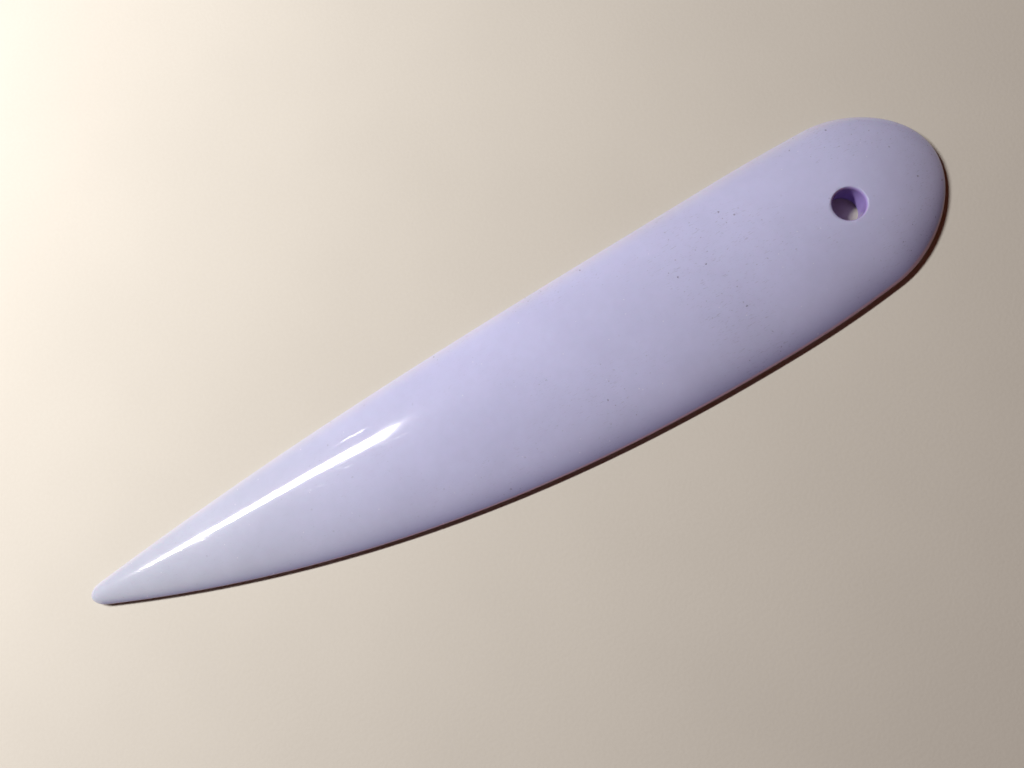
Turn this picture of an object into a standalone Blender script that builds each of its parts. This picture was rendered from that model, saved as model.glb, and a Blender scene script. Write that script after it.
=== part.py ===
"""Sculpting spatula: one moulded plastic blade with a hanging hole in its butt.

Metres, +Z up. The tip points to -X and the round butt to +X. The straighter
back edge is towards +Y and the curved belly towards -Y. The flat land under
the blade rests on Z = 0, and the origin is under the middle of the blade's box.
"""
import bmesh
import bpy
from math import atan2, cos, pi, radians, sin, sqrt
from mathutils import Vector

MM = 0.001

# Outline, seen from above. Stations are measured from the tip.
LENGTH = 140.0 * MM
WIDTH = 27.6 * MM
WIDEST_AT = 108.4 * MM
TIP_WIDTH = 2.4 * MM
FLARE_POWER = 2.34
BUTT_EASE = 0.187
TIP_CAP = 1.6 * MM
BUTT_CAP = 14.7 * MM
CAMBER = 3.9 * MM

# Section. The crown rises above the edge line and the keel hangs below it, both with the flare.
# The crown is a lens: an ellipse has a crown power of 1, and a plain arc about 2. The keel is
# half an ellipse, cut by a flat land to rest on.
CROWN_HEIGHT = 3.7 * MM
TIP_CROWN = 0.6 * MM
CROWN_POWER = 1.6
KEEL_DEPTH = 1.2 * MM
TIP_KEEL = 0.3 * MM
LAND_CUT = 0.2 * MM
EDGE_HEIGHT = KEEL_DEPTH - LAND_CUT

# Hanging hole, a little to the belly's side of the centre line.
HOLE_AT = 124.0 * MM
HOLE_OFFSET = 0.28 * MM
HOLE_RADIUS = 2.3 * MM
HOLE_CHAMFER = 0.4 * MM
CUTTER_REACH = 1.0 * MM
HOLE_SIDES = 48

# Fineness of the body's mesh.
SECTIONS = 64
SECTION_POINTS = 48

LAVENDER = (0.50, 0.47, 0.68, 1.0)


def clear_scene():
    for item in list(bpy.data.objects):
        bpy.data.objects.remove(item, do_unlink=True)


def new_collection(name):
    collection = bpy.data.collections.new(name)
    bpy.context.scene.collection.children.link(collection)
    return collection


def moulded_plastic(name, colour, roughness):
    material = bpy.data.materials.new(name)
    material.use_nodes = True
    shader = material.node_tree.nodes["Principled BSDF"]
    shader.inputs["Base Color"].default_value = colour
    shader.inputs["Roughness"].default_value = roughness
    shader.inputs["Metallic"].default_value = 0.0
    return material


def end_rounding(station):
    """1 along the blade, falling to 0 on a quarter ellipse at the tip and at the butt."""
    if station < TIP_CAP:
        reach = 1.0 - station / TIP_CAP
    elif station > LENGTH - BUTT_CAP:
        reach = 1.0 - (LENGTH - station) / BUTT_CAP
    else:
        reach = 0.0
    return sqrt(max(0.0, 1.0 - reach * reach))


def flare(station):
    """0 at the tip and 1 where the blade is widest, easing off a little towards the butt."""
    if station < WIDEST_AT:
        return 1.0 - (1.0 - station / WIDEST_AT) ** FLARE_POWER
    past = (station - WIDEST_AT) / (LENGTH - WIDEST_AT)
    return 1.0 - BUTT_EASE * past * past


def half_width(station):
    width = TIP_WIDTH + (WIDTH - TIP_WIDTH) * flare(station)
    return 0.5 * width * end_rounding(station)


def crown_height(station):
    height = TIP_CROWN + (CROWN_HEIGHT - TIP_CROWN) * flare(station)
    return height * end_rounding(station) ** CROWN_POWER


def keel_depth(station):
    depth = TIP_KEEL + (KEEL_DEPTH - TIP_KEEL) * flare(station)
    return depth * end_rounding(station)


def centre_line(station):
    """The blade's middle bows towards the belly, most at half its length."""
    along = station / LENGTH
    return -4.0 * CAMBER * along * (1.0 - along)


def section_point(station, angle):
    """A point of the section at a station, at an angle up from the back edge."""
    across = centre_line(station) + half_width(station) * cos(angle)
    if angle > 0.0:
        height = crown_height(station) * sin(angle) ** CROWN_POWER
    else:
        height = keel_depth(station) * sin(angle)
    return Vector((station, across, EDGE_HEIGHT + height))


def box_centre():
    """Middle of the blade's box seen from above, from its outermost lines."""
    stations = [LENGTH * (1.0 - cos(pi * step / SECTIONS)) / 2.0 for step in range(SECTIONS + 1)]
    back = max(centre_line(station) + half_width(station) for station in stations)
    belly = min(centre_line(station) - half_width(station) for station in stations)
    return Vector((LENGTH / 2.0, (back + belly) / 2.0, 0.0))


def cut_land(shape):
    """Takes off what hangs below Z = 0 and closes the blade with one flat face."""
    geometry = shape.verts[:] + shape.edges[:] + shape.faces[:]
    cut = bmesh.ops.bisect_plane(
        shape, geom=geometry, plane_co=(0.0, 0.0, 0.0), plane_no=(0.0, 0.0, -1.0), clear_outer=True
    )
    rim = [item for item in cut["geom_cut"] if isinstance(item, bmesh.types.BMEdge)]
    bmesh.ops.contextual_create(shape, geom=rim)
    bmesh.ops.recalc_face_normals(shape, faces=shape.faces)


def make_body(collection):
    """A sphere's rings become the blade's sections, and its poles the tip and the butt."""
    shape = bmesh.new()
    bmesh.ops.create_uvsphere(shape, u_segments=SECTION_POINTS, v_segments=SECTIONS, radius=1.0)
    for vertex in shape.verts:
        station = LENGTH * (1.0 + vertex.co.z) / 2.0
        vertex.co = section_point(station, atan2(vertex.co.y, vertex.co.x))
    cut_land(shape)
    mesh = bpy.data.meshes.new("spatula_body")
    shape.to_mesh(mesh)
    shape.free()
    body = bpy.data.objects.new("spatula_body", mesh)
    collection.objects.link(body)
    body.location = -box_centre()
    mesh.materials.append(moulded_plastic("lavender_plastic", LAVENDER, 0.16))
    return body


def make_hole_cutter(collection):
    """A turned plug with a straight bore and a chamfer that flares out at each face."""
    top = EDGE_HEIGHT + crown_height(HOLE_AT)
    spread = HOLE_CHAMFER + CUTTER_REACH
    profile = [
        (0.0, top + CUTTER_REACH),
        (HOLE_RADIUS + spread, top + CUTTER_REACH),
        (HOLE_RADIUS, top - HOLE_CHAMFER),
        (HOLE_RADIUS, HOLE_CHAMFER),
        (HOLE_RADIUS + spread, -CUTTER_REACH),
        (0.0, -CUTTER_REACH),
    ]
    points = [(radius, 0.0, height) for radius, height in profile]
    edges = [(index, index + 1) for index in range(len(points) - 1)]
    mesh = bpy.data.meshes.new("hole_cutter")
    mesh.from_pydata(points, edges, [])
    cutter = bpy.data.objects.new("hole_cutter", mesh)
    collection.objects.link(cutter)
    cutter.location = Vector((HOLE_AT, centre_line(HOLE_AT) - HOLE_OFFSET, 0.0)) - box_centre()
    cutter.hide_render = True
    cutter.display_type = "WIRE"
    turn = cutter.modifiers.new("turn", "SCREW")
    turn.steps = HOLE_SIDES
    turn.render_steps = HOLE_SIDES
    turn.use_merge_vertices = True
    turn.merge_threshold = 0.00001
    return cutter


def cut_hole(body, cutter):
    cut = body.modifiers.new("hanging_hole", "BOOLEAN")
    cut.operation = "DIFFERENCE"
    cut.solver = "EXACT"
    cut.object = cutter


def main():
    clear_scene()
    parts = new_collection("sculpting_spatula")
    cutters = new_collection("cutters")
    body = make_body(parts)
    cutter = make_hole_cutter(cutters)
    cut_hole(body, cutter)
    body.data.shade_smooth()
    body.data.set_sharp_from_angle(angle=radians(35.0))


main()
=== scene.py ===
"""The look of the sculpting spatula: glossy lavender plastic on a plain pale floor.

Metres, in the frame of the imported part. The tip points to -X, the round butt to
+X, the straighter back to +Y and the curved belly to -Y. Z = 0 is the floor.
"""
from collections import namedtuple
from math import atan2, cos, radians, sin, sqrt

import bmesh
import bpy
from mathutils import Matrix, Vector, noise


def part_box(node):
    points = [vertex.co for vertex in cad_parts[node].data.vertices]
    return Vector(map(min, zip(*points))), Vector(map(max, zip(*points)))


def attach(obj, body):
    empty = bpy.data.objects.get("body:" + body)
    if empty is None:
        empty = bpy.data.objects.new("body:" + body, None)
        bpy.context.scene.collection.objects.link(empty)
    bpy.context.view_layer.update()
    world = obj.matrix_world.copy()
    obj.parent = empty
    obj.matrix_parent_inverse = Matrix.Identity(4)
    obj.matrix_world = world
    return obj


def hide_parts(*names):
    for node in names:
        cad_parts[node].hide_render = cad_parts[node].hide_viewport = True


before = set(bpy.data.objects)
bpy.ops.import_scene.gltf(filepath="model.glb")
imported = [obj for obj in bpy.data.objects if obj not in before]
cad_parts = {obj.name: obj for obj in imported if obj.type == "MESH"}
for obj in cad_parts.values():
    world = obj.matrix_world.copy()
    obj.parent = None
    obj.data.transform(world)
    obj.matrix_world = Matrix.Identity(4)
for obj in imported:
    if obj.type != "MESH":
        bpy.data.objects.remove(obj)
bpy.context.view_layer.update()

MM = 0.001
NODE = "spatula_body"
LOW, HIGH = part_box(NODE)

# The blade's shape, with stations measured from the tip. Its length and height come from the frame.
LENGTH = HIGH.x - LOW.x
WIDTH = 27.6 * MM
WIDEST_AT = 108.4 * MM
TIP_WIDTH = 2.4 * MM
FLARE_POWER = 2.34
BUTT_EASE = 0.187
TIP_CAP = 1.6 * MM
BUTT_CAP = 14.7 * MM
CAMBER = 3.9 * MM
TIP_CROWN = 0.6 * MM
CROWN_POWER = 1.6
KEEL_DEPTH = 1.2 * MM
TIP_KEEL = 0.3 * MM
LAND_CUT = 0.2 * MM
EDGE_HEIGHT = KEEL_DEPTH - LAND_CUT
CROWN_HEIGHT = HIGH.z - EDGE_HEIGHT

# The hanging hole. Each rim is an arc, and the cutter then runs straight on, clear of the surface.
HOLE_AT = 124.0 * MM
HOLE_OFFSET = 0.28 * MM
HOLE_RADIUS = 2.3 * MM
HOLE_ROUNDING = 0.6 * MM
RIM_TURN = radians(75.0)
RIM_RUN = 2.0 * MM

# The slight unevenness that a moulded face keeps: hollows, shorter across the blade than along it.
WAVE_HEIGHT = 0.012 * MM
WAVE_LENGTH = 14.0 * MM
WAVE_SQUEEZE = 1.6

# Fineness of the mesh.
SECTIONS = 300
SECTION_POINTS = 184
OUTLINE_STEPS = 1000
HOLE_SIDES = 128
ROUNDING_STEPS = 10
MERGE_DISTANCE = 0.01 * MM
SHARP_ANGLE = radians(40.0)

# The plastic's colours. The tip's gives way to the body's between two stations.
BODY_COLOUR = (0.48, 0.495, 0.73, 1.0)
TIP_COLOUR = (0.435, 0.46, 0.57, 1.0)
TIP_COLOUR_ENDS = (2.0 * MM, 70.0 * MM)
# Painted shade on the walls of the hanging hole, with the deeper violet of light that has crossed more
# plastic.
BORE_SHADE_COLOUR = (0.33, 0.25, 0.59, 1.0)
DARK_COLOUR = (0.10, 0.08, 0.11, 1.0)
LINT_COLOUR = (0.85, 0.85, 0.88, 1.0)

# Mottling: the size of its patches, the detail of its noise, the part of the noise that counts,
# and how dark and how light it makes the colour.
Mottling = namedtuple("Mottling", "size detail noise brightness")
CLOUDS = Mottling(13.0 * MM, 2.0, (0.30, 0.70), (0.965, 1.030))
FINE_GRAIN = Mottling(1.4 * MM, 4.0, (0.25, 0.75), (0.985, 1.015))

# Painted light and shade on the edges, by which way a face points: painted light on the back edge,
# painted shade on the belly edge and a warm painted rim light on the belly's outermost faces. Each
# gives how far a face points outwards where the paint begins and where it is full, its strength and
# its colour. Pointing to the butt counts in part as pointing to the belly.
Tint = namedtuple("Tint", "begins full strength colour")
PAINTED_BACK_LIGHT = Tint(0.40, 0.60, 0.42, (0.60, 0.57, 0.61, 1.0))
PAINTED_BELLY_SHADE = Tint(0.28, 0.62, 0.50, (0.17, 0.17, 0.41, 1.0))
PAINTED_RIM_LIGHT = Tint(0.60, 0.68, 0.50, (0.75, 0.42, 0.45, 1.0))
BUTT_SHARE = 0.4

# Small dots: one to a cell of some spacing, in a share of the cells. Their outlines are ragged.
Dots = namedtuple("Dots", "spacing radius share strength")
SPECKS = Dots(6.0 * MM, 0.17 * MM, 0.55, 0.60)
FLECKS = Dots(2.2 * MM, 0.10 * MM, 0.50, 0.45)
LINT = Dots(3.7 * MM, 0.09 * MM, 0.30, 0.40)
RAGGED_GRAIN = 0.12 * MM
RAGGEDNESS = 2.4
NOISE_MIDDLE = 0.5

# Thin lines along the blade, from stretched noise: the noise's size, its stretch along, across and
# upwards, a turn that makes each pattern its own, and where in the noise a line begins and is full.
Lines = namedtuple("Lines", "size stretch turn begins full")
RUBBED_MARKS = Lines(0.22 * MM, (3.5, 0.5, 1.0), 0.7, 0.62, 0.70)
DULL_LINES = Lines(0.5 * MM, (16.0, 0.45, 1.0), 0.12, 0.66, 0.74)
LONG_SCRATCHES = Lines(0.4 * MM, (22.0, 0.4, 1.0), -0.07, 0.70, 0.76)
SHORT_SCRATCHES = Lines(0.4 * MM, (16.0, 0.4, 1.0), 0.9, 0.73, 0.78)
RUBBED_STRENGTH = 0.26

# Dark dots and rubbed marks show in groups, and faintly between them. They also get stronger
# between two stations, from a weak start near the tip to their full strength near the butt.
GROUP_SIZE = 12.0 * MM
GROUP_NOISE = (0.40, 0.56)
BETWEEN_GROUPS = 0.15
WORN_ENDS = (30.0 * MM, 110.0 * MM)
NEAR_TIP = 0.3

# The plastic's roughness, and what smudges and dull lines add to it.
POLISHED = 0.065
DULLING = 0.05
SMUDGE_SIZE = 6.0 * MM
SMUDGE_DETAIL = 5.0
SMUDGE_NOISE = (0.45, 0.72)

# The plastic's relief. The peel and the scratches each take a share of its depth.
PEEL_SIZE = 2.2 * MM
PEEL_DETAIL = 1.0
PEEL_SHARE = 0.25
SCRATCH_SHARE = 0.25
RELIEF_DEPTH = 0.012 * MM
RELIEF_STRENGTH = 0.7

PLASTIC = {
    "IOR": 1.5,
    "Subsurface Weight": 0.15,
    "Subsurface Radius": (2.0, 0.8, 1.2),
    "Subsurface Scale": 0.7 * MM,
    "Coat Weight": 0.08,
    "Coat Roughness": 0.35,
}

# The floor and the backdrop. The card turns into the glow between two distances from the blade.
CARD = {"Roughness": 0.9, "Specular IOR Level": 0.2}
FLOOR_COLOUR = (0.585, 0.56, 0.51, 1.0)
FLOOR_CLOUD_SIZE = 25.0 * MM
FLOOR_CLOUD_SHADE = 0.975
FIBRE_COLOUR = (0.40, 0.36, 0.30, 1.0)
FIBRE_SIZE = 0.5 * MM
FIBRE_DETAIL = 3.0
FIBRE_STRENGTH = 0.05
FIBRE_DEPTH = 0.02 * MM
FIBRE_RELIEF = 0.3
FLOOR_NOISE = (0.3, 0.7)
GLOW_COLOUR = (0.48, 0.445, 0.39, 1.0)
GLOW_ENDS = (0.10, 0.20)
FLOOR_HALF_WIDTH = 3.0
BACKDROP_RADIUS = 4.0
BACKDROP_SEGMENTS = 64
BACKDROP_RINGS = 32

# The tube lamp, in two lengths that meet at a slight bend, and a sliver that only gleams.
Lamp = namedtuple("Lamp", "x y length width power turn")
LAMP_LONG = Lamp(-213.0 * MM, 182.3 * MM, 128.6 * MM, 36.5 * MM, 1.98, radians(4.1))
LAMP_SHORT = Lamp(-125.7 * MM, 179.3 * MM, 48.0 * MM, 36.5 * MM, 0.74, radians(-16.4))
SLIVER = Lamp(-140.0 * MM, 285.6 * MM, 25.0 * MM, 3.5 * MM, 0.0125, radians(-45.6))
LAMP_HEIGHT = 291.0 * MM
LAMP_COLOUR = (1.0, 0.975, 0.94)

# The little light that fills the shadows.
FILL_COLOUR = (1.0, 0.24, 0.10, 1.0)
FILL_STRENGTH = 0.06

# The camera, nearly straight above the blade. Its sensor and its lens are in millimetres.
CAMERA_PLACE = (2.69 * MM, -18.95 * MM, 115.26 * MM + EDGE_HEIGHT)
CAMERA_TURN = (radians(8.31), radians(5.82), radians(-27.51))
SENSOR_WIDTH = 36.0
FOCAL_LENGTH = 28.125
CLIP_START = 5.0 * MM


# Shape


def end_rounding(station):
    """1 along the blade, falling to 0 on a quarter ellipse at the tip and at the butt."""
    if station < TIP_CAP:
        reach = 1.0 - station / TIP_CAP
    elif station > LENGTH - BUTT_CAP:
        reach = 1.0 - (LENGTH - station) / BUTT_CAP
    else:
        reach = 0.0
    return sqrt(max(0.0, 1.0 - reach * reach))


def flare(station):
    """0 at the tip and 1 where the blade is widest, easing off a little towards the butt."""
    if station < WIDEST_AT:
        return 1.0 - (1.0 - station / WIDEST_AT) ** FLARE_POWER
    past = (station - WIDEST_AT) / (LENGTH - WIDEST_AT)
    return 1.0 - BUTT_EASE * past * past


def half_width(station):
    width = TIP_WIDTH + (WIDTH - TIP_WIDTH) * flare(station)
    return 0.5 * width * end_rounding(station)


def crown_height(station):
    height = TIP_CROWN + (CROWN_HEIGHT - TIP_CROWN) * flare(station)
    return height * end_rounding(station) ** CROWN_POWER


def keel_depth(station):
    depth = TIP_KEEL + (KEEL_DEPTH - TIP_KEEL) * flare(station)
    return depth * end_rounding(station)


def centre_line(station):
    """The blade's middle bows towards the belly, most at half its length."""
    along = station / LENGTH
    return -4.0 * CAMBER * along * (1.0 - along)


def hole_centre():
    return Vector((HOLE_AT, centre_line(HOLE_AT) - HOLE_OFFSET, 0.0))


def unevenness(station, across):
    """Depth of the long, shallow hollows in the crowned face."""
    place = Vector((station, WAVE_SQUEEZE * across, 0.0)) / WAVE_LENGTH
    return WAVE_HEIGHT * (0.5 + 0.5 * noise.noise(place))


def section_point(station, angle):
    """A point of the section at a station, at an angle up from the back edge."""
    across = centre_line(station) + half_width(station) * cos(angle)
    if angle > 0.0:
        height = crown_height(station) * sin(angle) ** CROWN_POWER
        height -= unevenness(station, across) * sin(angle)
    else:
        height = keel_depth(station) * sin(angle)
    return Vector((station, across, EDGE_HEIGHT + height))


def tip_origin():
    """Where the shape's own origin, at the tip, lies in the frame."""
    stations = [LENGTH * step / OUTLINE_STEPS for step in range(OUTLINE_STEPS + 1)]
    back = max(centre_line(station) + half_width(station) for station in stations)
    belly = min(centre_line(station) - half_width(station) for station in stations)
    return Vector((LOW.x, (LOW.y + HIGH.y - back - belly) / 2.0, LOW.z))


def add_object(name, data):
    """A new object in the scene, from a mesh, a light or a camera."""
    made = bpy.data.objects.new(name, data)
    bpy.context.scene.collection.objects.link(made)
    return made


def add_shape(name, shape):
    """A new object in the scene, from a bmesh that isn't needed any more."""
    mesh = bpy.data.meshes.new(name)
    shape.to_mesh(mesh)
    shape.free()
    return add_object(name, mesh)


def cut_land(shape):
    """Takes off what hangs below Z = 0 and closes the blade with one flat face."""
    geometry = shape.verts[:] + shape.edges[:] + shape.faces[:]
    cut = bmesh.ops.bisect_plane(
        shape, geom=geometry, plane_co=(0.0, 0.0, 0.0), plane_no=(0.0, 0.0, -1.0), clear_outer=True
    )
    rim = [item for item in cut["geom_cut"] if isinstance(item, bmesh.types.BMEdge)]
    bmesh.ops.contextual_create(shape, geom=rim)
    bmesh.ops.recalc_face_normals(shape, faces=shape.faces)


def make_blade():
    """A sphere's rings become the blade's sections, and its poles the tip and the butt."""
    shape = bmesh.new()
    bmesh.ops.create_uvsphere(shape, u_segments=SECTION_POINTS, v_segments=SECTIONS, radius=1.0)
    for vertex in shape.verts:
        station = LENGTH * (1.0 + vertex.co.z) / 2.0
        vertex.co = section_point(station, atan2(vertex.co.y, vertex.co.x))
    cut_land(shape)
    blade = add_shape("blade", shape)
    blade.location = tip_origin()
    return blade


def rounded_rim(surface, upwards):
    """The rim's profile from the bore outwards: an arc, then a straight run that clears the surface."""
    points = []
    for step in range(ROUNDING_STEPS + 1):
        turn = RIM_TURN * step / ROUNDING_STEPS
        radius = HOLE_RADIUS + HOLE_ROUNDING * (1.0 - cos(turn))
        points.append((radius, surface + upwards * HOLE_ROUNDING * (sin(turn) - 1.0)))
    radius, height = points[-1]
    points.append((radius + RIM_RUN * sin(RIM_TURN), height + upwards * RIM_RUN * cos(RIM_TURN)))
    return points


def make_hole_cutter():
    """A turned plug with a straight bore and rims that flare out in a small arc."""
    top = rounded_rim(EDGE_HEIGHT + crown_height(HOLE_AT), 1.0)
    bottom = rounded_rim(0.0, -1.0)
    outer = list(reversed(top)) + bottom
    profile = [(0.0, outer[0][1])] + outer + [(0.0, outer[-1][1])]
    points = [(radius, 0.0, height) for radius, height in profile]
    edges = [(index, index + 1) for index in range(len(points) - 1)]
    mesh = bpy.data.meshes.new("hole_cutter")
    mesh.from_pydata(points, edges, [])
    cutter = add_object("hole_cutter", mesh)
    cutter.location = tip_origin() + hole_centre()
    turn = cutter.modifiers.new("turn", "SCREW")
    turn.steps = HOLE_SIDES
    turn.render_steps = HOLE_SIDES
    turn.use_merge_vertices = True
    turn.merge_threshold = MERGE_DISTANCE
    return cutter


def cut_hole(blade):
    """Cuts the hole for good, so that the cutter can go, and smooths the shading."""
    cutter = make_hole_cutter()
    cut = blade.modifiers.new("hanging_hole", "BOOLEAN")
    cut.operation = "DIFFERENCE"
    cut.solver = "EXACT"
    cut.object = cutter
    bpy.context.view_layer.update()
    finished = blade.evaluated_get(bpy.context.evaluated_depsgraph_get())
    mesh = bpy.data.meshes.new_from_object(finished)
    blade.modifiers.clear()
    blade.data = mesh
    bpy.data.objects.remove(cutter, do_unlink=True)
    mesh.shade_smooth()
    mesh.set_sharp_from_angle(angle=SHARP_ANGLE)


# Materials

# Where a Mix node keeps its factor and its two colours, and where its resulting colour.
MIX_INPUTS = (0, 6, 7)
MIX_RESULT = 2


def feed(tree, socket, value):
    """Links another node's output to an input, or sets the input to a number or a colour."""
    if isinstance(value, bpy.types.NodeSocket):
        tree.links.new(value, socket)
    else:
        socket.default_value = value


def node(tree, kind, **settings):
    """A new node. Each setting is a property of it or one of its inputs."""
    made = tree.nodes.new(kind)
    for name, value in settings.items():
        if hasattr(made, name):
            setattr(made, name, value)
        else:
            feed(tree, made.inputs[name.replace("_", " ")], value)
    return made


def new_material(name, settings):
    """A material, its node tree and its main shader, with some of that shader's inputs set."""
    material = bpy.data.materials.new(name)
    material.use_nodes = True
    shader = material.node_tree.nodes["Principled BSDF"]
    for setting, value in settings.items():
        shader.inputs[setting].default_value = value
    return material, material.node_tree, shader


def band(tree, value, limits, results=(0.0, 1.0)):
    """Maps a value between two limits onto two results, smoothly, and holds it beyond them."""
    mapped = node(
        tree, "ShaderNodeMapRange", interpolation_type="SMOOTHSTEP", clamp=True, Value=value,
        From_Min=limits[0], From_Max=limits[1], To_Min=results[0], To_Max=results[1]
    )
    return mapped.outputs["Result"]


def maths(tree, operation, first, second):
    """One step of arithmetic. Either side may be a number or another node's output."""
    made = node(tree, "ShaderNodeMath", operation=operation)
    feed(tree, made.inputs[0], first)
    feed(tree, made.inputs[1], second)
    return made.outputs[0]


def vector_maths(tree, operation, first, second=(0.0, 0.0, 0.0)):
    """One step of arithmetic on vectors. Some kinds give a vector and some a number."""
    made = node(tree, "ShaderNodeVectorMath", operation=operation)
    feed(tree, made.inputs[0], first)
    feed(tree, made.inputs[1], second)
    return made.outputs["Value" if operation in ("DISTANCE", "LENGTH") else "Vector"]


def mixed(tree, amount, first, second, blend="MIX"):
    """Two colours mixed. Each may be a colour or another node's output."""
    made = node(tree, "ShaderNodeMix", data_type="RGBA", blend_type=blend)
    for socket, value in zip(MIX_INPUTS, (amount, first, second)):
        feed(tree, made.inputs[socket], value)
    return made.outputs[MIX_RESULT]


def grain(tree, place, size, detail=2.0, stretch=(1.0, 1.0, 1.0), turn=0.0):
    """Noise with features of about one size, stretched along the object's own axes."""
    scale = [1.0 / (size * factor) for factor in stretch]
    mapping = node(tree, "ShaderNodeMapping", Vector=place, Scale=scale, Rotation=(0.0, 0.0, turn))
    made = node(
        tree, "ShaderNodeTexNoise", Vector=mapping.outputs["Vector"], Scale=1.0, Detail=detail, Roughness=0.5
    )
    return made.outputs["Fac"]


def mottling(tree, place, kind):
    return band(tree, grain(tree, place, kind.size, detail=kind.detail), kind.noise, kind.brightness)


def lines(tree, place, kind):
    """1 on thin lines along the blade."""
    peaks = grain(tree, place, kind.size, stretch=kind.stretch, turn=kind.turn)
    return band(tree, peaks, (kind.begins, kind.full))


def dots(tree, place, kind):
    """1 inside small ragged dots scattered one to a cell, in only a share of the cells."""
    cells = node(
        tree, "ShaderNodeTexVoronoi", voronoi_dimensions="2D", Vector=place, Scale=1.0 / kind.spacing
    )
    size = kind.radius / kind.spacing
    ragged = maths(tree, "SUBTRACT", grain(tree, place, RAGGED_GRAIN), NOISE_MIDDLE)
    ragged = maths(tree, "MULTIPLY", ragged, RAGGEDNESS * size)
    distance = maths(tree, "ADD", cells.outputs["Distance"], ragged)
    inside = band(tree, distance, (0.5 * size, size), (1.0, 0.0))
    chance = node(tree, "ShaderNodeSeparateColor", Color=cells.outputs["Color"]).outputs["Red"]
    return maths(tree, "MULTIPLY", inside, maths(tree, "LESS_THAN", chance, kind.share))


def bore_shade_mask(tree, place):
    """1 on the walls of the hanging hole. They get painted shade, and a deeper violet where light has
    crossed the most plastic.
    """
    level = vector_maths(tree, "MULTIPLY", place, (1.0, 1.0, 0.0))
    away = vector_maths(tree, "DISTANCE", level, hole_centre())
    return band(tree, away, (HOLE_RADIUS, HOLE_RADIUS + 0.5 * HOLE_ROUNDING), (1.0, 0.0))


def painted_edge_light(tree, body):
    """Painted light at the back edge, painted shade at the belly edge and a warm painted rim light at its
    rim.
    """
    normal = node(tree, "ShaderNodeNewGeometry").outputs["Normal"]
    facing = node(tree, "ShaderNodeSeparateXYZ", Vector=normal)
    to_back = facing.outputs["Y"]
    to_belly = maths(tree, "SUBTRACT", maths(tree, "MULTIPLY", facing.outputs["X"], BUTT_SHARE), to_back)
    for outwards, edge_paint in ((to_back, PAINTED_BACK_LIGHT), (to_belly, PAINTED_BELLY_SHADE), (to_belly, PAINTED_RIM_LIGHT)):
        amount = band(tree, outwards, (edge_paint.begins, edge_paint.full), (0.0, edge_paint.strength))
        body = mixed(tree, amount, body, edge_paint.colour)
    return body


def worn(tree, place, along, body):
    """Dark dots and short rubbed marks in loose groups, mostly near the butt, and pale lint."""
    group = band(tree, grain(tree, place, GROUP_SIZE), GROUP_NOISE, (BETWEEN_GROUPS, 1.0))
    group = maths(tree, "MULTIPLY", group, band(tree, along, WORN_ENDS, (NEAR_TIP, 1.0)))
    for kind in (SPECKS, FLECKS):
        shown = maths(tree, "MULTIPLY", dots(tree, place, kind), group)
        body = mixed(tree, maths(tree, "MULTIPLY", shown, kind.strength), body, DARK_COLOUR)
    marks = maths(tree, "MULTIPLY", lines(tree, place, RUBBED_MARKS), group)
    body = mixed(tree, maths(tree, "MULTIPLY", marks, RUBBED_STRENGTH), body, DARK_COLOUR)
    lint = maths(tree, "MULTIPLY", dots(tree, place, LINT), LINT.strength)
    return mixed(tree, lint, body, LINT_COLOUR)


def plastic_colour(tree, place):
    """Lavender, greyer towards the thin tip, mottled, with painted edge light and shade, painted shade in
    the hole and marks of use.
    """
    along = node(tree, "ShaderNodeSeparateXYZ", Vector=place).outputs["X"]
    body = mixed(tree, band(tree, along, TIP_COLOUR_ENDS), TIP_COLOUR, BODY_COLOUR)
    shade = maths(tree, "MULTIPLY", mottling(tree, place, CLOUDS), mottling(tree, place, FINE_GRAIN))
    body = mixed(tree, 1.0, body, shade, "MULTIPLY")
    # Painted light and shade on the edges, by which way each face points.
    body = painted_edge_light(tree, body)
    # Painted shade on the walls of the hanging hole.
    body = mixed(tree, bore_shade_mask(tree, place), body, BORE_SHADE_COLOUR)
    return worn(tree, place, along, body)


def plastic_roughness(tree, place):
    """Polished, with faint handling smudges and a few dull lines."""
    smudges = band(tree, grain(tree, place, SMUDGE_SIZE, detail=SMUDGE_DETAIL), SMUDGE_NOISE)
    smudges = maths(tree, "MULTIPLY", smudges, DULLING)
    dull_lines = maths(tree, "MULTIPLY", lines(tree, place, DULL_LINES), DULLING)
    return maths(tree, "ADD", maths(tree, "ADD", smudges, dull_lines), POLISHED)


def plastic_relief(tree, place):
    """Scratches along the blade, a few microns deep, over a slight orange peel."""
    peel = maths(tree, "MULTIPLY", grain(tree, place, PEEL_SIZE, detail=PEEL_DETAIL), PEEL_SHARE)
    cuts = maths(tree, "ADD", lines(tree, place, LONG_SCRATCHES), lines(tree, place, SHORT_SCRATCHES))
    height = maths(tree, "SUBTRACT", peel, maths(tree, "MULTIPLY", cuts, SCRATCH_SHARE))
    bump = node(tree, "ShaderNodeBump", Strength=RELIEF_STRENGTH, Distance=RELIEF_DEPTH, Height=height)
    return bump.outputs["Normal"]


def lavender_plastic():
    material, tree, shader = new_material("lavender_plastic", PLASTIC)
    place = node(tree, "ShaderNodeTexCoord").outputs["Object"]
    feed(tree, shader.inputs["Base Color"], plastic_colour(tree, place))
    feed(tree, shader.inputs["Roughness"], plastic_roughness(tree, place))
    feed(tree, shader.inputs["Normal"], plastic_relief(tree, place))
    return material


def pale_glow(tree):
    """The even light of the far floor and of the backdrop."""
    return node(tree, "ShaderNodeEmission", Color=GLOW_COLOUR, Strength=1.0).outputs["Emission"]


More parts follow.
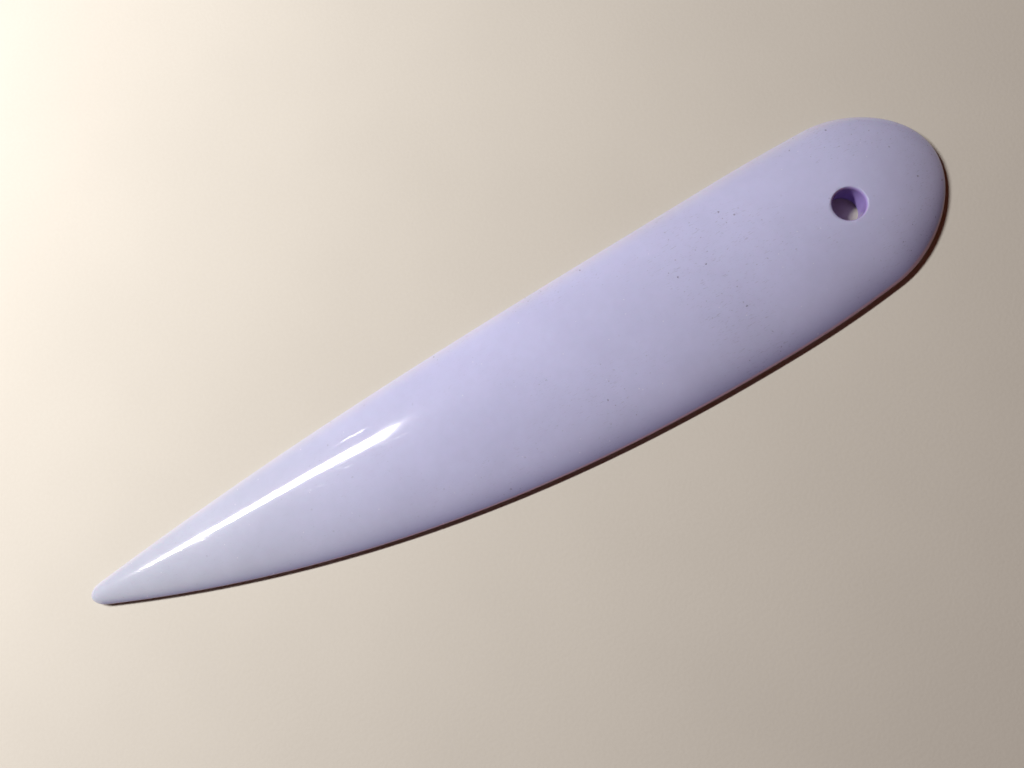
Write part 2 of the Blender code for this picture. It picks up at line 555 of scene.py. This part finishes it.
def cream_floor():
    """Matt card near the blade. It turns into an even glow further off, as a lit sweep does."""
    material, tree, shader = new_material("cream_floor", CARD)
    place = node(tree, "ShaderNodeTexCoord").outputs["Object"]
    cloud = band(tree, grain(tree, place, FLOOR_CLOUD_SIZE), FLOOR_NOISE)
    fibre = band(tree, grain(tree, place, FIBRE_SIZE, detail=FIBRE_DETAIL), FLOOR_NOISE)
    darker = tuple(FLOOR_CLOUD_SHADE * value for value in FLOOR_COLOUR[:3]) + (1.0,)
    paper = mixed(tree, cloud, FLOOR_COLOUR, darker)
    paper = mixed(tree, maths(tree, "MULTIPLY", fibre, FIBRE_STRENGTH), paper, FIBRE_COLOUR)
    bump = node(tree, "ShaderNodeBump", Strength=FIBRE_RELIEF, Distance=FIBRE_DEPTH, Height=fibre)
    feed(tree, shader.inputs["Base Color"], paper)
    feed(tree, shader.inputs["Normal"], bump.outputs["Normal"])
    far = band(tree, vector_maths(tree, "LENGTH", place), GLOW_ENDS)
    both = node(tree, "ShaderNodeMixShader")
    feed(tree, both.inputs[0], far)
    feed(tree, both.inputs[1], shader.outputs["BSDF"])
    feed(tree, both.inputs[2], pale_glow(tree))
    feed(tree, tree.nodes["Material Output"].inputs["Surface"], both.outputs["Shader"])
    return material


def pale_backdrop():
    material = bpy.data.materials.new("pale_backdrop")
    material.use_nodes = True
    tree = material.node_tree
    feed(tree, tree.nodes["Material Output"].inputs["Surface"], pale_glow(tree))
    return material


# Stage


def make_floor():
    shape = bmesh.new()
    bmesh.ops.create_grid(shape, x_segments=1, y_segments=1, size=FLOOR_HALF_WIDTH)
    floor = add_shape("floor", shape)
    floor.data.materials.append(cream_floor())


def make_backdrop():
    """A pale dome that only the camera sees, so that low views have a background."""
    shape = bmesh.new()
    bmesh.ops.create_uvsphere(
        shape, u_segments=BACKDROP_SEGMENTS, v_segments=BACKDROP_RINGS, radius=BACKDROP_RADIUS
    )
    backdrop = add_shape("backdrop", shape)
    backdrop.data.materials.append(pale_backdrop())
    backdrop.visible_diffuse = False
    backdrop.visible_glossy = False
    backdrop.visible_transmission = False
    backdrop.visible_shadow = False


def make_lamp(name, lamp):
    """A flat rectangular light that shines straight down and that the camera doesn't see."""
    data = bpy.data.lights.new(name, "AREA")
    data.shape = "RECTANGLE"
    data.size = lamp.length
    data.size_y = lamp.width
    data.energy = lamp.power
    data.color = LAMP_COLOUR
    light = add_object(name, data)
    light.location = (lamp.x, lamp.y, LAMP_HEIGHT)
    light.rotation_euler = (0.0, 0.0, lamp.turn)
    light.visible_camera = False
    return light


def make_lights():
    make_lamp("lamp_long", LAMP_LONG)
    make_lamp("lamp_short", LAMP_SHORT)
    sliver = make_lamp("sliver", SLIVER)
    sliver.visible_diffuse = False


def make_world():
    world = bpy.data.worlds.new("studio")
    bpy.context.scene.world = world
    world.use_nodes = True
    background = world.node_tree.nodes["Background"]
    background.inputs["Color"].default_value = FILL_COLOUR
    background.inputs["Strength"].default_value = FILL_STRENGTH


def make_camera():
    data = bpy.data.cameras.new("camera")
    data.sensor_width = SENSOR_WIDTH
    data.lens = FOCAL_LENGTH
    data.clip_start = CLIP_START
    camera = add_object("camera", data)
    camera.location = CAMERA_PLACE
    camera.rotation_euler = CAMERA_TURN
    bpy.context.scene.camera = camera


blade = make_blade()
cut_hole(blade)
blade.data.materials.clear()
blade.data.materials.append(lavender_plastic())
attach(blade, "root")
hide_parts(NODE)
make_floor()
make_backdrop()
make_lights()
make_world()
make_camera()
bpy.context.scene.view_settings.view_transform = "Standard"
